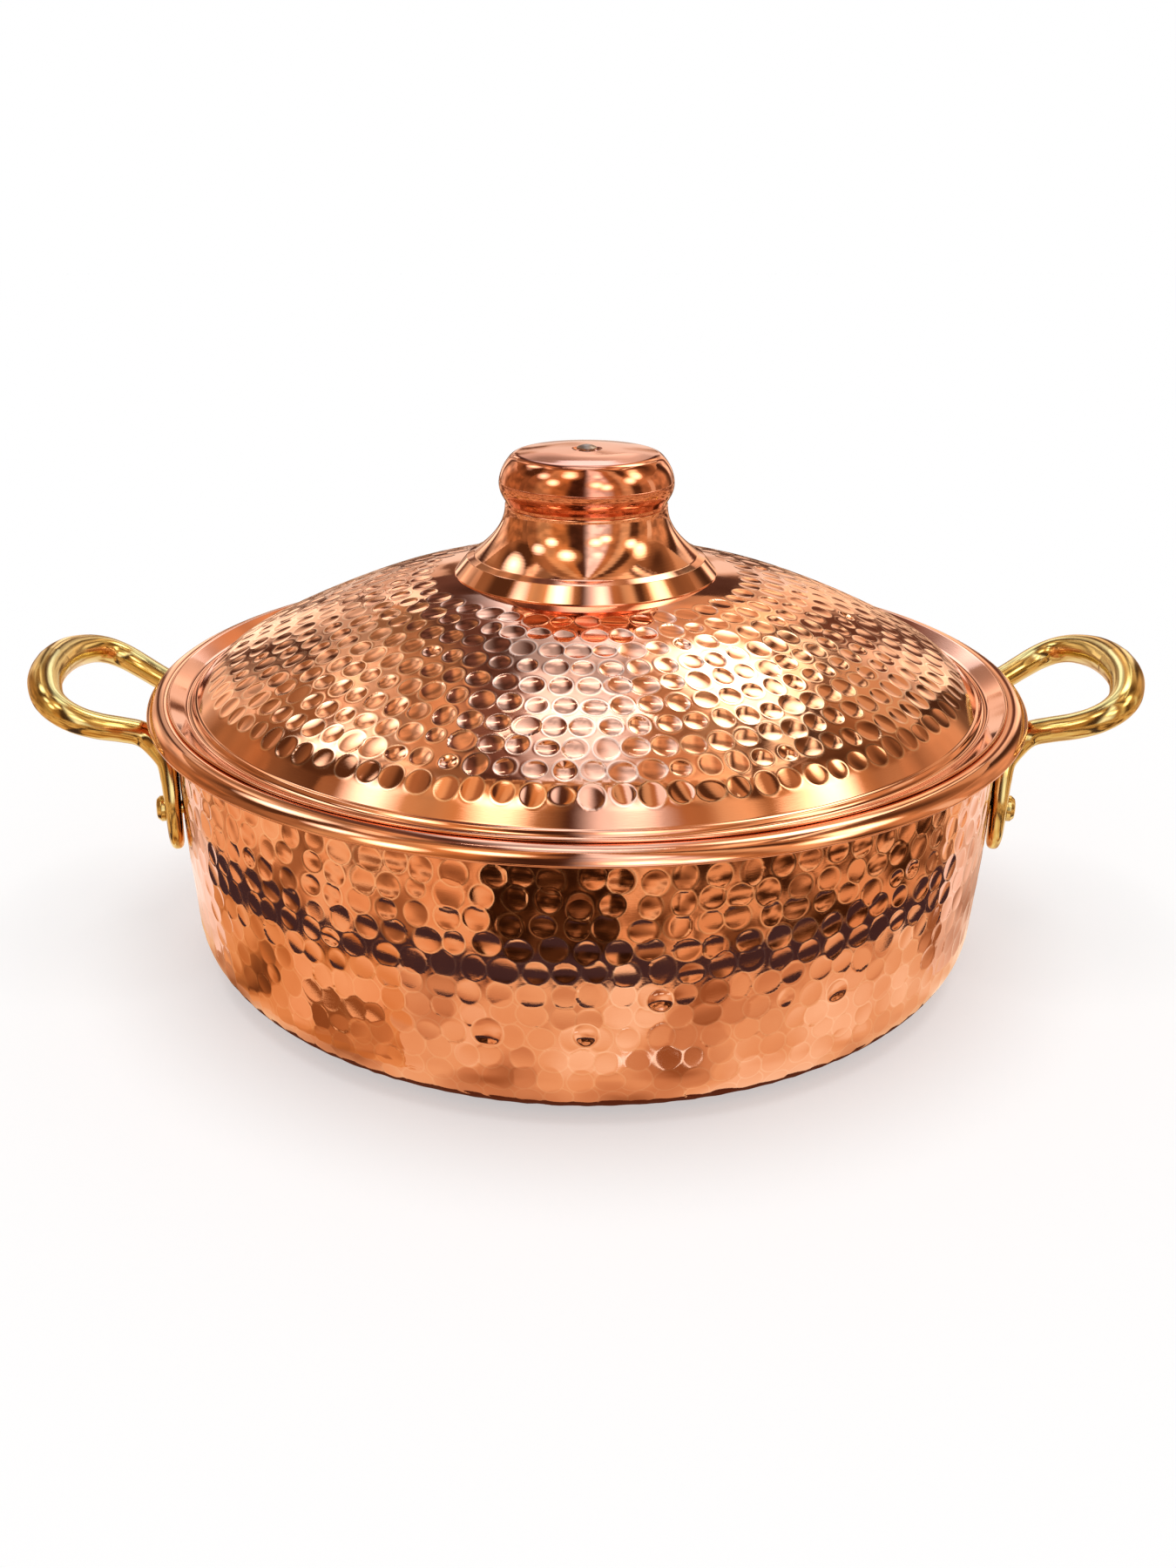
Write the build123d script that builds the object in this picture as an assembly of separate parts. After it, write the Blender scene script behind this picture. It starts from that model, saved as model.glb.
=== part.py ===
from build123d import *
from math import atan2, cos, degrees, radians, sin, sqrt, tan
import os

# A low two-handled copper cooking pot with a domed lid. Lengths are millimetres. The origin is on the
# axis of the pot, on the plane that it stands on. +Z is up and the two handles lie along X.

# Pot body: one drawn copper sheet
body_sheet = 1.3
wall_radius = 141.4           # outside of the upright upper wall
wall_lean = 3.9               # how far the lower wall leans in, down at the standing plane
wall_break_height = 57.0      # where the leaning lower wall meets the upright one
wall_break_round = 560.0
base_corner = 19.0            # outside radius between bottom and wall
pot_height = 94.7             # top of the turned-out rim
mouth_round = 4.0             # how softly the mouth turns out into the rim
rim_overhang = 8.6            # edge of the rim beyond the wall
rim_arch = 6.6                # corner of the arched rim beyond the wall
rim_arch_round = 6.4
rim_droop = 3.4               # edge of the rim below its top

# Lid: one spun copper sheet
lid_sheet = 1.0
seat_gap = 0.08
dome_rise = 37.9              # crown of the dome above the pot's rim
dome_flat_share = 0.408       # radii of the dome's corners as shares of the mouth's
dome_break_share = 0.735
dome_break_drop = 18.3
dome_crown_round = 150.0
dome_break_round = 360.0
dome_edge_inset = 8.9         # where the smooth band begins, inside the mouth
dome_edge_drop = 33.2
dome_edge_round = 2.6
band_foot_inset = 6.7
band_foot_drop = 37.4
bead_inset = 5.7              # fine raised bead between band and gutter
bead_drop = 37.7
bead_round = 0.6
gutter_inset = 4.5
gutter_round = 1.8
seat_angle = 30.0             # slope of the outer flange that rests in the mouth
seat_overlap = 1.4            # edge of the flange beyond the mouth

# Knob: a spun foot and a spun cap, held by one bolt
knob_sheet = 1.0
knob_gap = 0.06
foot_radius = 44.7
foot_ring_height = 5.2
foot_ring_radius = 40.4
foot_step_radius = 38.0
foot_step_rise = 1.2
neck_radius = 27.4
neck_height = 23.0            # top of the trumpet above its foot
neck_bend_height = 14.2
neck_bend_round = 16.0
cap_height = 18.4             # top of the cap above the neck
cap_top_radius = 24.9
cap_top_fall = 0.9
cap_shoulder_radius = 28.9
cap_shoulder_drop = 6.7
cap_side_radius = 29.7
cap_side_drop = 12.9
cap_cove_drop = 17.3
spigot_depth = 4.6
spigot_clearance = 0.2
dimple_radius = 4.6
dimple_depth = 1.0

# Bolt, washer and nut of the knob
bolt_radius = 2.5
bolt_clearance = 0.2
bolt_head_radius = 3.4
bolt_head_height = 1.5
bolt_tail = 2.0
washer_radius = 7.0
washer_thickness = 1.2
nut_across_flats = 8.0
nut_thickness = 4.0
thread_gap = 0.06

# Handles: cast brass loops with two riveted feet each
loop_reach = 44.6             # centre line of the grip beyond the pot's wall
loop_rise = 3.3               # centre line of the grip above the pot's rim
loop_half_width = 34.6
grip_radius = 5.9
leg_radius = 4.5
leg_half_spacing = 25.4
foot_half_spacing = 31.0
foot_width = 17.6
foot_thickness = 5.5
foot_top_height = 80.0
foot_bottom_height = 42.0
foot_edge_round = 1.8
foot_gap = 0.05

# Rivets and their inner washers
rivet_height = 57.0
rivet_radius = 2.3
rivet_clearance = 0.1
rivet_head_radius = 4.3
rivet_head_height = 2.9
rivet_peen_radius = 3.6
rivet_peen_height = 1.5
burr_radius = 5.2
burr_thickness = 1.0

mouth_radius = wall_radius - body_sheet
dome_top = pot_height + dome_rise


def side_of(points, shift):
    """The path beside a path of (x, y, corner radius), shifted to its right; corner radii follow."""
    lines = []
    for (x0, y0, _), (x1, y1, _) in zip(points, points[1:]):
        length = sqrt((x1 - x0) ** 2 + (y1 - y0) ** 2)
        ux, uy = (x1 - x0) / length, (y1 - y0) / length
        lines.append((x0 + uy * shift, y0 - ux * shift, ux, uy))
    moved = [(lines[0][0], lines[0][1], 0)]
    for (ax, ay, ux, uy), (bx, by, vx, vy), (_, _, radius) in zip(lines, lines[1:], points[1:-1]):
        cross = ux * vy - uy * vx
        along = ((bx - ax) * vy - (by - ay) * vx) / cross
        new_radius = radius + shift if cross > 0 else radius - shift
        moved.append((ax + ux * along, ay + uy * along, max(new_radius, 0) if radius else 0))
    last_x, last_y, ux, uy = lines[-1]
    end_x, end_y, _ = points[-1]
    moved.append((end_x + uy * shift, end_y - ux * shift, 0))
    return moved


def path_edges(points):
    """Lines and tangent arcs through a path of (x, y, corner radius)."""
    edges = []
    at = points[0][:2]
    for (x0, y0, _), (x1, y1, radius), (x2, y2, _) in zip(points, points[1:], points[2:]):
        into = sqrt((x1 - x0) ** 2 + (y1 - y0) ** 2)
        out = sqrt((x2 - x1) ** 2 + (y2 - y1) ** 2)
        ux, uy, vx, vy = (x1 - x0) / into, (y1 - y0) / into, (x2 - x1) / out, (y2 - y1) / out
        turn = atan2(ux * vy - uy * vx, ux * vx + uy * vy)
        cut = radius * tan(abs(turn) / 2)
        start = (x1 - ux * cut, y1 - uy * cut)
        edges.append(Line(at, start))
        at = start
        if radius:
            end = (x1 + vx * cut, y1 + vy * cut)
            bulge = radius * (1 / cos(turn / 2) - 1)
            toward = sqrt((vx - ux) ** 2 + (vy - uy) ** 2)
            middle = (x1 + (vx - ux) / toward * bulge, y1 + (vy - uy) / toward * bulge)
            edges.append(ThreePointArc(at, middle, end))
            at = end
    edges.append(Line(at, points[-1][:2]))
    return edges


def dome_arc(radius, edge, crown):
    """Arc from a rim at one height to a crown on the axis, with its centre on the axis."""
    rise = crown - edge
    ball = (radius ** 2 + rise ** 2) / (2 * abs(rise))
    centre = crown - ball * rise / abs(rise)
    half = atan2(radius, abs(edge - centre)) / 2
    middle = (ball * sin(half), centre + ball * cos(half) * rise / abs(rise))
    return ThreePointArc((radius, edge), middle, (0, crown))


def turned(edges):
    """The solid that a closed outline of radius and height makes when it is turned about the axis."""
    section = Plane.XZ * make_face(edges)
    return revolve(section, Axis.Z)


def sheet_turned(points, thickness):
    """A sheet of one thickness, given by its upper or outer side, turned about the axis."""
    back = side_of(points, thickness)
    ends = [Line(points[0][:2], back[0][:2]), Line(points[-1][:2], back[-1][:2])]
    return turned(path_edges(points) + path_edges(back) + ends)


def body_path():
    """Inner side of the body: floor, wall, mouth and the top of the rim."""
    lean = atan2(wall_lean, wall_break_height)
    inner_foot = wall_radius - wall_lean - body_sheet / cos(lean) + body_sheet * tan(lean)
    return [
        (0, body_sheet, 0),
        (inner_foot, body_sheet, base_corner - body_sheet),
        (mouth_radius, wall_break_height, wall_break_round),
        (mouth_radius, pot_height, mouth_round),
        (wall_radius + rim_arch, pot_height, rim_arch_round),
        (wall_radius + rim_overhang, pot_height - rim_droop, 0),
    ]


def make_body():
    return sheet_turned(body_path(), body_sheet)


def seat_point():
    """Upper side of the lid's flange at its edge: the flange touches the rounded mouth on a slope."""
    lean = radians(seat_angle)
    reach = mouth_round + seat_gap + lid_sheet
    touch_r = mouth_radius + mouth_round - reach * sin(lean)
    touch_z = pot_height - mouth_round + reach * cos(lean)
    edge_r = mouth_radius + seat_overlap
    return edge_r, touch_z + (edge_r - touch_r) * tan(lean)


def lid_path():
    """Upper side of the lid: crown, dome, smooth band, fine bead, gutter and sloping flange."""
    edge_r, edge_z = seat_point()
    gutter_r = mouth_radius - gutter_inset
    return [
        (bolt_radius + bolt_clearance, dome_top, 0),
        (mouth_radius * dome_flat_share, dome_top, dome_crown_round),
        (mouth_radius * dome_break_share, dome_top - dome_break_drop, dome_break_round),
        (mouth_radius - dome_edge_inset, dome_top - dome_edge_drop, dome_edge_round),
        (mouth_radius - band_foot_inset, dome_top - band_foot_drop, bead_round),
        (mouth_radius - bead_inset, dome_top - bead_drop, bead_round),
        (gutter_r, edge_z - (edge_r - gutter_r) * tan(radians(seat_angle)), gutter_round),
        (edge_r, edge_z, 0),
    ]


def dome_height(radius):
    """Height of the lid's upper side on the crown's arc."""
    flat = mouth_radius * dome_flat_share
    slope = atan2(dome_break_drop, mouth_radius * dome_break_share - flat)
    start = flat - dome_crown_round * tan(slope / 2)
    if radius <= start:
        return dome_top
    return dome_top - dome_crown_round + sqrt(dome_crown_round ** 2 - (radius - start) ** 2)


def make_lid():
    return sheet_turned(lid_path(), lid_sheet)


def foot_height():
    """Height of the knob's foot: its inner lower corner just clears the lid."""
    rise = sqrt((foot_radius - foot_ring_radius) ** 2 + foot_ring_height ** 2)
    inner = foot_radius - knob_sheet * foot_ring_height / rise
    return dome_height(inner) + knob_gap + knob_sheet * (foot_radius - foot_ring_radius) / rise


def make_knob_base():
    """Trumpet with a fine step and a bevelled ring at its foot, from the neck down."""
    floor = foot_height()
    return sheet_turned([
        (neck_radius, floor + neck_height, 0),
        (neck_radius, floor + neck_bend_height, neck_bend_round * 0.9),
        (foot_step_radius, floor + foot_ring_height + foot_step_rise, 0.6),
        (foot_ring_radius, floor + foot_ring_height, 0.5),
        (foot_radius, floor, 0),
    ], knob_sheet)


def make_knob_cap():
    """Rounded head with a dimple for the bolt, an undercut cove and a spigot inside the neck."""
    neck_top = foot_height() + neck_height + knob_gap
    top = neck_top + cap_height
    spigot = neck_radius - knob_sheet - spigot_clearance
    hole = bolt_radius + bolt_clearance
    return sheet_turned([
        (hole, top - dimple_depth, 0),
        (dimple_radius - dimple_depth, top - dimple_depth, 1.2),
        (dimple_radius + dimple_depth * 0.6, top, 1.4),
        (cap_top_radius, top - cap_top_fall, 2.0),
        (cap_shoulder_radius, top - cap_shoulder_drop, 5.0),
        (cap_side_radius, top - cap_side_drop, 1.3),
        (neck_radius - 0.2, top - cap_cove_drop, 1.0),
        (neck_radius - 0.2, neck_top, 0),
        (spigot, neck_top, 0),
        (spigot, neck_top - spigot_depth, 0),
    ], knob_sheet)


def knob_top():
    return foot_height() + neck_height + knob_gap + cap_height


def under_lid():
    return dome_top - lid_sheet


def make_bolt():
    """Low round head in the dimple and a plain shank through cap, lid, washer and nut."""
    seat = knob_top() - dimple_depth + knob_gap
    tail = under_lid() - washer_thickness - nut_thickness - bolt_tail
    head_edge = seat + bolt_head_height * 0.35
    section = [
        Line((0, tail), (bolt_radius - 0.5, tail)),
        Line((bolt_radius - 0.5, tail), (bolt_radius, tail + 0.5)),
        Line((bolt_radius, tail + 0.5), (bolt_radius, seat)),
        Line((bolt_radius, seat), (bolt_head_radius, seat)),
        Line((bolt_head_radius, seat), (bolt_head_radius, head_edge)),
        dome_arc(bolt_head_radius, head_edge, seat + bolt_head_height),
        Line((0, seat + bolt_head_height), (0, tail)),
    ]
    return turned(section)


def make_washer():
    ring = Cylinder(washer_radius, washer_thickness) - Cylinder(bolt_radius + bolt_clearance, washer_thickness)
    ring = chamfer(ring.edges().filter_by(GeomType.CIRCLE).sort_by(SortBy.RADIUS)[-2:], 0.2)
    return Pos(0, 0, under_lid() - knob_gap - washer_thickness / 2) * ring


def make_nut():
    hexagon = extrude(RegularPolygon(nut_across_flats / 2, 6, major_radius=False), nut_thickness / 2, both=True)
    rounded = Cylinder(nut_across_flats / sqrt(3), nut_thickness)
    rounded = chamfer(rounded.edges().filter_by(GeomType.CIRCLE), 0.5)
    nut = (hexagon & rounded) - Cylinder(bolt_radius + thread_gap, nut_thickness)
    return Pos(0, 0, under_lid() - 2 * knob_gap - washer_thickness - nut_thickness / 2) * nut


def foot_place(side):
    """A frame on the wall at a foot's rivet: its Z points out of the pot, its X runs round the wall."""
    turn = degrees(atan2(side * foot_half_spacing, sqrt(wall_radius ** 2 - foot_half_spacing ** 2)))
    outward = (cos(radians(turn)), sin(radians(turn)), 0)
    around = (-sin(radians(turn)), cos(radians(turn)), 0)
    origin = (outward[0] * wall_radius, outward[1] * wall_radius, rivet_height)
    return Plane(origin=origin, x_dir=around, z_dir=outward)


def make_foot(side):
    """Flat tongue of a handle, rounded at its lower end and narrower at its neck."""
    half = foot_width / 2
    top = foot_top_height - rivet_height
    bottom = foot_bottom_height - rivet_height
    neck = leg_radius + 1.0
    outline = [
        Line((-neck, top), (neck, top)),
        ThreePointArc((neck, top), (neck + (half - neck) * 0.45, top * 0.62), (half, top * 0.2)),
        Line((half, top * 0.2), (half, bottom + half * 0.9)),
        ThreePointArc((half, bottom + half * 0.9), (0, bottom), (-half, bottom + half * 0.9)),
        Line((-half, bottom + half * 0.9), (-half, top * 0.2)),
        ThreePointArc((-half, top * 0.2), (-neck - (half - neck) * 0.45, top * 0.62), (-neck, top)),
    ]
    plate = extrude(make_face(outline), foot_thickness + 3)
    rim = plate.faces().sort_by(Axis.Z)[-1].edges()
    plate = fillet(rim, foot_edge_round)
    return foot_place(side) * Pos(0, 0, -3) * plate


def make_loop():
    """Half of the grip and one leg, thinner towards the pot, then its mirror image."""
    fall = pot_height + loop_rise - foot_top_height
    wall_x = sqrt(wall_radius ** 2 - foot_half_spacing ** 2)
    foot_x = wall_x + foot_thickness - leg_radius * 0.72
    stations = [
        (1.0, 0.0, 1.0),
        (0.969, 0.48, 0.955),
        (0.87, 0.85, 0.815),
        (0.706, 1.0, 0.605),
        (0.484, 0.905, 0.355),
    ]
    points = []
    for reach, width, rise in stations:
        points.append(Vector(wall_radius + loop_reach * reach, loop_half_width * width, foot_top_height + fall * rise))
    points.append(Vector(wall_radius + loop_reach * 0.26, leg_half_spacing + 0.6, foot_top_height + fall * 0.13))
    points.append(Vector(wall_x + foot_thickness + 2.6, leg_half_spacing, foot_top_height - 0.8))
    points.append(Vector(foot_x, (leg_half_spacing + foot_half_spacing * 2) / 3, foot_top_height - 10.5))
    path = Spline(points, tangents=[(0, 1, 0), (-0.08, 0.2, -1)])
    sections = []
    for place, radius in ((0, grip_radius), (0.45, grip_radius * 0.94), (0.8, leg_radius), (1, leg_radius * 0.72)):
        sections.append(Plane(origin=path @ place, z_dir=path % place) * Circle(radius))
    half = sweep(sections, path, multisection=True)
    return half + mirror(half, Plane.XZ)


def rivet_hole(side):
    depth = 4 * foot_thickness
    return foot_place(side) * Cylinder(rivet_radius + rivet_clearance, depth)


def make_handle():
    handle = make_loop() + make_foot(1) + make_foot(-1)
    handle -= Cylinder(wall_radius + foot_gap, 4 * pot_height)
    for side in (-1, 1):
        handle -= rivet_hole(side)
    return handle


def rivet_outline(inner_face, outer_face):
    """Section of a rivet: domed outer head, shank and the lower peened head."""
    outer_edge = outer_face + rivet_head_height * 0.55
    outer_top = outer_face + rivet_head_height
    inner_edge = inner_face - rivet_peen_height * 0.4
    inner_top = inner_face - rivet_peen_height
    return [
        dome_arc(rivet_peen_radius, inner_edge, inner_top),
        Line((rivet_peen_radius, inner_edge), (rivet_peen_radius, inner_face)),
        Line((rivet_peen_radius, inner_face), (rivet_radius, inner_face)),
        Line((rivet_radius, inner_face), (rivet_radius, outer_face)),
        Line((rivet_radius, outer_face), (rivet_head_radius, outer_face)),
        Line((rivet_head_radius, outer_face), (rivet_head_radius, outer_edge)),
        dome_arc(rivet_head_radius, outer_edge, outer_top),
        Line((0, outer_top), (0, inner_top)),
    ]


def burr_face():
    """Distance of a burr's flat side from the rivet frame: its rim clears the hollow of the wall."""
    return sqrt(mouth_radius ** 2 - burr_radius ** 2) - wall_radius - 2 * foot_gap - wall_loss()


def wall_loss():
    """How much the wall at the rivets lies inside the upright wall, on the soft break."""
    lean = atan2(wall_lean, wall_break_height)
    end = wall_break_height + wall_break_round * tan(lean / 2)
    low = max(end - rivet_height + burr_radius, 0)
    return low ** 2 / (2 * wall_break_round)


def make_rivet(side):
    outline = rivet_outline(burr_face() - burr_thickness - foot_gap, foot_thickness + foot_gap)
    return foot_place(side) * turned(outline)


def make_burr(side):
    ring = Cylinder(burr_radius, burr_thickness) - Cylinder(rivet_radius + rivet_clearance, burr_thickness)
    return foot_place(side) * Pos(0, 0, burr_face() - burr_thickness / 2) * ring


def other_side(piece):
    return mirror(piece, Plane.YZ)


def make_parts():
    body = make_body()
    for side in (-1, 1):
        body -= rivet_hole(side)
        body -= other_side(rivet_hole(side))
    handle = make_handle()
    rear_rivet, front_rivet = make_rivet(1), make_rivet(-1)
    rear_burr, front_burr = make_burr(1), make_burr(-1)
    return {
        "pot_body": body,
        "lid_dome": make_lid(),
        "knob_base": make_knob_base(),
        "knob_cap": make_knob_cap(),
        "knob_bolt": make_bolt(),
        "knob_washer": make_washer(),
        "knob_nut": make_nut(),
        "handle_right": handle,
        "handle_left": other_side(handle),
        "rivet_right_front": front_rivet,
        "rivet_right_rear": rear_rivet,
        "rivet_left_front": other_side(front_rivet),
        "rivet_left_rear": other_side(rear_rivet),
        "burr_right_front": front_burr,
        "burr_right_rear": rear_burr,
        "burr_left_front": other_side(front_burr),
        "burr_left_rear": other_side(rear_burr),
    }


os.makedirs("parts", exist_ok=True)
for name, solid in make_parts().items():
    export_step(solid, f"parts/{name}.step")
    box = solid.bounding_box()
    print(name, "volume", round(solid.volume, 1), "box", [round(v, 2) for v in (*box.min, *box.max)])
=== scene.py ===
"""Looks of the copper cooking pot: hammered copper, brass handles, a tinned inside and a white studio.

The meshes made here take the place of the plain solids of the pot, the lid, the knob, the handles and the
rivets. The bolt, washer, nut and burrs keep their solids and only get a material.
Lengths are millimetres until a mesh is made; the frame and the studio are in metres.
"""
from math import atan2, cos, pi, radians, sin, sqrt, tan

import bpy
import numpy as np
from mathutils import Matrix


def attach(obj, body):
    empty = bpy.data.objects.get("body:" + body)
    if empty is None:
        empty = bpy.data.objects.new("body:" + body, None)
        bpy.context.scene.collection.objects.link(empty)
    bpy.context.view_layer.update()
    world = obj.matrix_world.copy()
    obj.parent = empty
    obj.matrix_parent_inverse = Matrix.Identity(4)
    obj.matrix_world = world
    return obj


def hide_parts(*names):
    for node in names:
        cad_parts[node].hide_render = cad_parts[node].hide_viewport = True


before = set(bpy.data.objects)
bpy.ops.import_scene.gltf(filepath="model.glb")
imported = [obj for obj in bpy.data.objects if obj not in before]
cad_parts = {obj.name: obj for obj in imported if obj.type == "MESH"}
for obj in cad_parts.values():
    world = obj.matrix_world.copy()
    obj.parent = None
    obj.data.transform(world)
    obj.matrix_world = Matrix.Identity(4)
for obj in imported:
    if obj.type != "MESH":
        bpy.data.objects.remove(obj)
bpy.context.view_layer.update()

MM = 0.001

# Camera: its place in metres, its tilt down in radians, and its lens and centre in pixels of the picture
CAMERA_PLACE = (-0.01442, -0.520, 0.26788)
CAMERA_TILT = 0.3922
FOCAL_LENGTH = 1787.45
CENTRE_X = 623.87
CENTRE_Y = 899.28
PICTURE_WIDTH = 1350
PICTURE_HEIGHT = 1800
SENSOR_WIDTH = 36.0

# Light: the floor and the world look white, and send out less light than that
FLOOR_TONE = 0.52
FLOOR_GLOW = 0.48
FLOOR_HALF = 3.0
WORLD_LIGHT = 0.46
SUN_STRENGTH = 0.54 * pi
SUN_WIDTH = 42
SEEN_AS_WHITE = ("Is Camera Ray", "Is Glossy Ray", "Is Transmission Ray")

# Pot body
SHEET = 1.3
WALL_FOOT_R = 137.5
WALL_R = 141.4
WALL_BREAK_Z = 57.0
WALL_BREAK_ROUND = 560.0
BASE_CORNER = 19.0
POT_Z = 94.7
MOUTH_ROUND = 4.0
RIM_R = 150.0
RIM_SHOULDER_R = 148.0
RIM_SHOULDER_ROUND = 6.4
RIM_DROOP = 3.4
# Inside BOTTOM_R the flat bottom has a few rings only, and inside CENTRE_R a fan
BOTTOM_R = WALL_FOOT_R - BASE_CORNER - 12
CENTRE_R = 3.0
# The hammered part ends below the mouth, and inside a little lower still
MARKS_FROM_BOTTOM_R = BOTTOM_R + 6
MARKS_TO_Z = POT_Z - 7.0
INNER_MARKS_TO_Z = POT_Z - 8

# Lid
LID_SHEET = 1.0
SEAT_GAP = 0.08
SEAT_ANGLE = 30.0
LID_EDGE_R = 141.5
EDGE_REACH = 0.8
GUTTER_R = 135.6
DOME_TOP = POT_Z + 37.9
LID_HOLE = 2.7
MARKS_FROM_R = 51.0
MARKS_TO_R = 129.2

# Knob
KNOB_FLOOR = 131.84
KNOB_SHEET = 1.0
KNOB_STEP = 0.4
KNOB_POINTS = 360
TRUMPET_R = 27.4
TRUMPET_FLARE = 10.6
TRUMPET_TOP = 23.0
TRUMPET_HEIGHT = 16.6
NECK_HEIGHT = 23.06
CAP_HEIGHT = 18.4
CAP_NECK_R = 27.2
SPIGOT_R = 26.2
SPIGOT_DEPTH = 4.6

# Handles
FOOT_Y = 31.0
RIVET_Z = 57.0
HANDLE_POINTS = 56
SPAN_STEPS = 14
GRIP_SIDE = (0.92, 0.0, 0.39)
# The section's wide side turns to lie along the wall from this height down, over this drop
TURN_Z = 93.0
TURN_DROP = 14.0
# Below this height a handle is pressed against the wall, and doesn't enter it
PRESSED_Z = 86
PRESSED_GAP = 0.05

# Hammered meshes: points in each ring, and the distance between rings outside and inside
POINTS_ROUND = 2100
SKIN_STEP = 0.42
LINING_STEP = 3.0

# Hammer marks: a mark's reach, cut, floor, lip place and the start of its ridge's wear and painted highlight
# are shares of its radius
MARK_REACH = 1.3
MARK_CUT = 1.12
MARK_FLOOR = 0.7
FLOOR_SHARE = 0.6
CUT_SOFTNESS = 0.018
LIP_AT = 1.06
LIP_WIDTH = 0.36
FULL_LIP = 0.03
WEAR_AND_SHEEN_STARTS = 0.86
# How far the marks' size, depth, slope and roundness vary, and how often and how much harder a blow falls
SIZE_SPREAD = 0.07
DEPTH_SPREAD = 0.2
SLOPE_SPREAD = 0.016
ROUND_SPREAD = 0.05
HARD_SHARE = 0.02
HARD_BLOW = 2.2
# Slow waves of the sheet fade out over this distance at the ends of the hammered part
FADE_LENGTH = 8.0

# Metal: how fine its patches of tone, uneven polish and scratches are, the scratches' depth in metres,
# and how much rougher a worn ridge is
TONE_SCALE = 38.0
POLISH_SCALE = 130.0
SCRATCH_SCALE = 420.0
SCRATCH_DEPTH = 0.00002
WORN_ROUGHNESS = 0.07

# Share of a studio band's width that fades into its neighbour
BAND_EDGE = 0.26
# A band narrower than this share of the whole is one soft line
NARROW_BAND = 0.03


def unit(x, y):
    length = sqrt(x * x + y * y)
    return x / length, y / length


def rotated(arm, angle):
    return np.array((arm[0] * cos(angle) - arm[1] * sin(angle), arm[0] * sin(angle) + arm[1] * cos(angle)))


def rounded_path(points, step, arc_steps=10):
    """Points along straight runs and round corners through (r, z, corner radius)."""
    slight_turn = 0.2
    out = [np.array(points[0][:2], float)]

    def run_to(end):
        start = out[-1]
        length = np.linalg.norm(end - start)
        count = max(1, int(np.ceil(length / step)))
        for k in range(1, count + 1):
            out.append(start + (end - start) * k / count)

    for (x0, y0, _), (x1, y1, radius), (x2, y2, _) in zip(points, points[1:], points[2:]):
        corner = np.array((x1, y1), float)
        ux, uy = unit(x1 - x0, y1 - y0)
        vx, vy = unit(x2 - x1, y2 - y1)
        turn = atan2(ux * vy - uy * vx, ux * vx + uy * vy)
        cut = radius * tan(abs(turn) / 2)
        run_to(corner - np.array((ux, uy)) * cut)
        if radius:
            side = 1 if turn > 0 else -1
            centre = out[-1] + np.array((-uy, ux)) * radius * side
            arm = out[-1] - centre
            least = arc_steps if abs(turn) > slight_turn else 2
            count = max(least, int(np.ceil(radius * abs(turn) / step)))
            for k in range(1, count + 1):
                out.append(centre + rotated(arm, turn * k / count))
    run_to(np.array(points[-1][:2], float))
    return np.array(out)


def side_of(points, shift):
    """The path beside a path of (r, z, corner radius), shifted to its right; corner radii follow."""
    least_radius = 0.05
    lines = []
    for (x0, y0, _), (x1, y1, _) in zip(points, points[1:]):
        ux, uy = unit(x1 - x0, y1 - y0)
        lines.append((x0 + uy * shift, y0 - ux * shift, ux, uy))
    moved = [(lines[0][0], lines[0][1], 0)]
    for (ax, ay, ux, uy), (bx, by, vx, vy), (_, _, radius) in zip(lines, lines[1:], points[1:-1]):
        cross = ux * vy - uy * vx
        along = ((bx - ax) * vy - (by - ay) * vx) / cross
        new_radius = radius + shift if cross > 0 else radius - shift
        moved.append((ax + ux * along, ay + uy * along, max(new_radius, least_radius) if radius else 0))
    _, _, ux, uy = lines[-1]
    end_x, end_y, _ = points[-1]
    moved.append((end_x + uy * shift, end_y - ux * shift, 0))
    return moved


def round_end(start, end, bulge_side, steps=6):
    """Half circle that closes the edge of a sheet between its two sides."""
    middle = (start + end) / 2
    arm = start - middle
    return np.array([middle + rotated(arm, pi * k / steps * bulge_side) for k in range(1, steps)])


def body_path():
    """Inner side of the pot from its centre to the end of its lip, as (r, z, corner radius)."""
    lean = atan2(WALL_R - WALL_FOOT_R, WALL_BREAK_Z)
    inner_foot = WALL_FOOT_R - SHEET / cos(lean) + SHEET * tan(lean)
    return [
        (0, SHEET, 0),
        (inner_foot, SHEET, BASE_CORNER - SHEET),
        (WALL_R - SHEET, WALL_BREAK_Z, WALL_BREAK_ROUND),
        (WALL_R - SHEET, POT_Z, MOUTH_ROUND),
        (RIM_SHOULDER_R, POT_Z, RIM_SHOULDER_ROUND),
        (RIM_R, POT_Z - RIM_DROOP, 0),
    ]


def seat_point():
    """End of the lid's sloping flange, whose underside rests on the round of the pot's mouth."""
    lean = radians(SEAT_ANGLE)
    reach = MOUTH_ROUND + SEAT_GAP + LID_SHEET
    touch_r = WALL_R - SHEET + MOUTH_ROUND - reach * sin(lean)
    touch_z = POT_Z - MOUTH_ROUND + reach * cos(lean)
    return LID_EDGE_R, touch_z + (LID_EDGE_R - touch_r) * tan(lean)


def lid_path():
    """Upper side of the lid: dome, smooth skirt, fine bead, gutter and flange, as (r, z, corner radius)."""
    edge_r, edge_z = seat_point()
    slope = tan(radians(SEAT_ANGLE))
    gutter_z = edge_z - (edge_r - GUTTER_R) * slope
    return [
        (LID_HOLE, DOME_TOP, 0),
        (57.2, DOME_TOP, 150.0),
        (103.0, DOME_TOP - 18.3, 360.0),
        (126.0, DOME_TOP - 30.6, 34.0),
        (133.2, DOME_TOP - 38.3, 0.8),
        (134.1, DOME_TOP - 38.6, 0.8),
        (GUTTER_R, gutter_z, 2.2),
        (edge_r + EDGE_REACH, edge_z + EDGE_REACH * slope, 0),
    ]


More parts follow.
